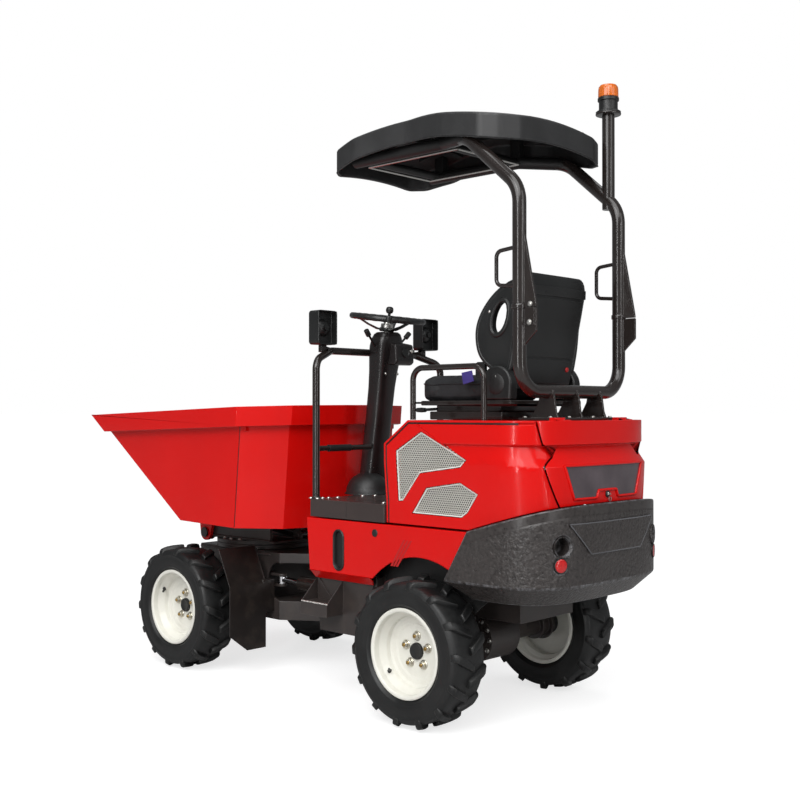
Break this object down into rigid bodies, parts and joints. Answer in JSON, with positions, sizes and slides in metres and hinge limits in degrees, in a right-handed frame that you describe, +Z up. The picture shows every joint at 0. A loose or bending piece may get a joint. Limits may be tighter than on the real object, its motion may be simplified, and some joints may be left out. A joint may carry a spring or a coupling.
{
  "type": "site dumper",
  "caption": "Articulated site dumper: a swivelling tipping hopper over the front axle, a driver's seat and roll bar with canopy over the engine, and a cast rear weight, on lugged tyres.",
  "frame": {"origin": "on the ground at the middle of the machine's length and width", "axes": "+X towards the hopper end, +Y to the driver's left, +Z up"},
  "size_m": [3.3481, 1.244, 3.0471],
  "materials": {
    "red_paint": "gloss",
    "frame_paint": "satin",
    "black_paint": "satin",
    "cast_weight": "rough painted",
    "deck_grey": "satin",
    "black_plastic": "matte",
    "grille_mesh": "satin",
    "seat_vinyl": "grained",
    "engine_iron": "matte",
    "tyre_rubber": "matte",
    "rim_cream": "gloss",
    "red_lens": "gloss",
    "amber_lens": "gloss",
    "ram_barrel": "gloss",
    "ram_rod": "polished"
  },
  "bodies": {
    "rear_frame": {"rear_chassis": "frame_paint", "rear_axle": "frame_paint", "engine_block": "engine_iron", "counterweight": "cast_weight", "tail_lamps": "red_lens", "side_panel_left": "red_paint", "side_panel_right": "red_paint", "side_grilles": "grille_mesh", "engine_cover": "red_paint", "deck": "deck_grey", "sill_left": "red_paint", "sill_right": "red_paint", "steps": "frame_paint", "steering_column": "black_plastic", "control_levers": "black_plastic", "handrail": "black_paint", "headlamps": "black_plastic", "seat_base": "black_paint", "seat_cushion": "seat_vinyl", "seat_back": "seat_vinyl", "seat_shell": "black_plastic", "seat_rails": "black_paint", "rops_lower": "black_paint", "rops_upper": "black_paint", "canopy": "black_plastic", "beacon": "amber_lens"},
    "front_frame": {"front_chassis": "frame_paint", "front_axle": "frame_paint", "mudguards": "frame_paint"},
    "turntable": {"turntable_frame": "frame_paint"},
    "hopper": {"hopper": "red_paint"},
    "bonnet": {"bonnet": "red_paint", "bonnet_window": "black_plastic"},
    "steering_wheel": {"steering_wheel": "black_plastic"},
    "wheel_fl": {"tyre_fl": "tyre_rubber", "rim_fl": "rim_cream"},
    "wheel_fr": {"tyre_fr": "tyre_rubber", "rim_fr": "rim_cream"},
    "wheel_rl": {"tyre_rl": "tyre_rubber", "rim_rl": "rim_cream"},
    "wheel_rr": {"tyre_rr": "tyre_rubber", "rim_rr": "rim_cream"},
    "tip_barrel": {"tip_barrel": "ram_barrel"},
    "tip_rod": {"tip_rod": "ram_rod"},
    "steer_barrel_left": {"steer_barrel_left": "ram_barrel"},
    "steer_rod_left": {"steer_rod_left": "ram_rod"},
    "steer_barrel_right": {"steer_barrel_right": "ram_barrel"},
    "steer_rod_right": {"steer_rod_right": "ram_rod"}
  },
  "joints": [
    {"name": "articulation", "type": "hinge", "parent": "rear_frame", "child": "front_frame", "pos_m": [0.154, 0, 0.47], "axis": [0, 0, 1], "range_deg": [-32, 32]},
    {"name": "slew", "type": "hinge", "parent": "front_frame", "child": "turntable", "pos_m": [0.754, 0, 0.68], "axis": [0, 0, 1], "range_deg": [-90, 90]},
    {"name": "tip", "type": "hinge", "parent": "turntable", "child": "hopper", "pos_m": [0.984, 0, 0.727], "axis": [0, 1, 0], "range_deg": [0, 65]},
    {"name": "bonnet_hinge", "type": "hinge", "parent": "rear_frame", "child": "bonnet", "pos_m": [-1.543, 0, 1.405], "axis": [0, 1, 0], "range_deg": [0, 70]},
    {"name": "steering_wheel_turn", "type": "hinge", "parent": "rear_frame", "child": "steering_wheel", "pos_m": [-0.251, 0, 1.935], "axis": [-0.1392, 0, 0.9903], "continuous": true},
    {"name": "wheel_turn_fl", "type": "hinge", "parent": "front_frame", "child": "wheel_fl", "pos_m": [0.845, 0.512, 0.343], "axis": [0, 1, 0], "continuous": true},
    {"name": "wheel_turn_fr", "type": "hinge", "parent": "front_frame", "child": "wheel_fr", "pos_m": [0.845, -0.512, 0.343], "axis": [0, 1, 0], "continuous": true},
    {"name": "wheel_turn_rl", "type": "hinge", "parent": "rear_frame", "child": "wheel_rl", "pos_m": [-0.937, 0.512, 0.343], "axis": [0, 1, 0], "continuous": true},
    {"name": "wheel_turn_rr", "type": "hinge", "parent": "rear_frame", "child": "wheel_rr", "pos_m": [-0.937, -0.512, 0.343], "axis": [0, 1, 0], "continuous": true},
    {"name": "tip_barrel_swing", "type": "hinge", "parent": "turntable", "child": "tip_barrel", "pos_m": [0.434, 0, 0.735], "axis": [0, -1, 0], "range_deg": [-2, 8]},
    {"name": "tip_rod_slide", "type": "slide", "parent": "tip_barrel", "child": "tip_rod", "axis": [0.9926, 0, 0.1213], "range_m": [-0.005, 0.125]},
    {"name": "steer_barrel_swing_left", "type": "hinge", "parent": "rear_frame", "child": "steer_barrel_left", "pos_m": [-0.116, 0.24, 0.5], "axis": [0, 0, 1], "range_deg": [-15, 15]},
    {"name": "steer_rod_slide_left", "type": "slide", "parent": "steer_barrel_left", "child": "steer_rod_left", "axis": [0.9967, -0.0814, 0], "range_m": [-0.125, 0.125]},
    {"name": "steer_barrel_swing_right", "type": "hinge", "parent": "rear_frame", "child": "steer_barrel_right", "pos_m": [-0.116, -0.24, 0.5], "axis": [0, 0, 1], "range_deg": [-15, 15]},
    {"name": "steer_rod_slide_right", "type": "slide", "parent": "steer_barrel_right", "child": "steer_rod_right", "axis": [0.9967, 0.0814, 0], "range_m": [-0.125, 0.125]}
  ],
  "couplings": [
    {"joint": "tip_barrel_swing", "follows": "tip", "ratio": 0.0825},
    {"joint": "tip_rod_slide", "follows": "tip", "m_per_rad": 0.1035},
    {"joint": "steer_barrel_swing_left", "follows": "articulation", "ratio": 0.4079},
    {"joint": "steer_rod_slide_left", "follows": "articulation", "m_per_rad": -0.2153},
    {"joint": "steer_barrel_swing_right", "follows": "articulation", "ratio": 0.4079},
    {"joint": "steer_rod_slide_right", "follows": "articulation", "m_per_rad": 0.2153}
  ]
}
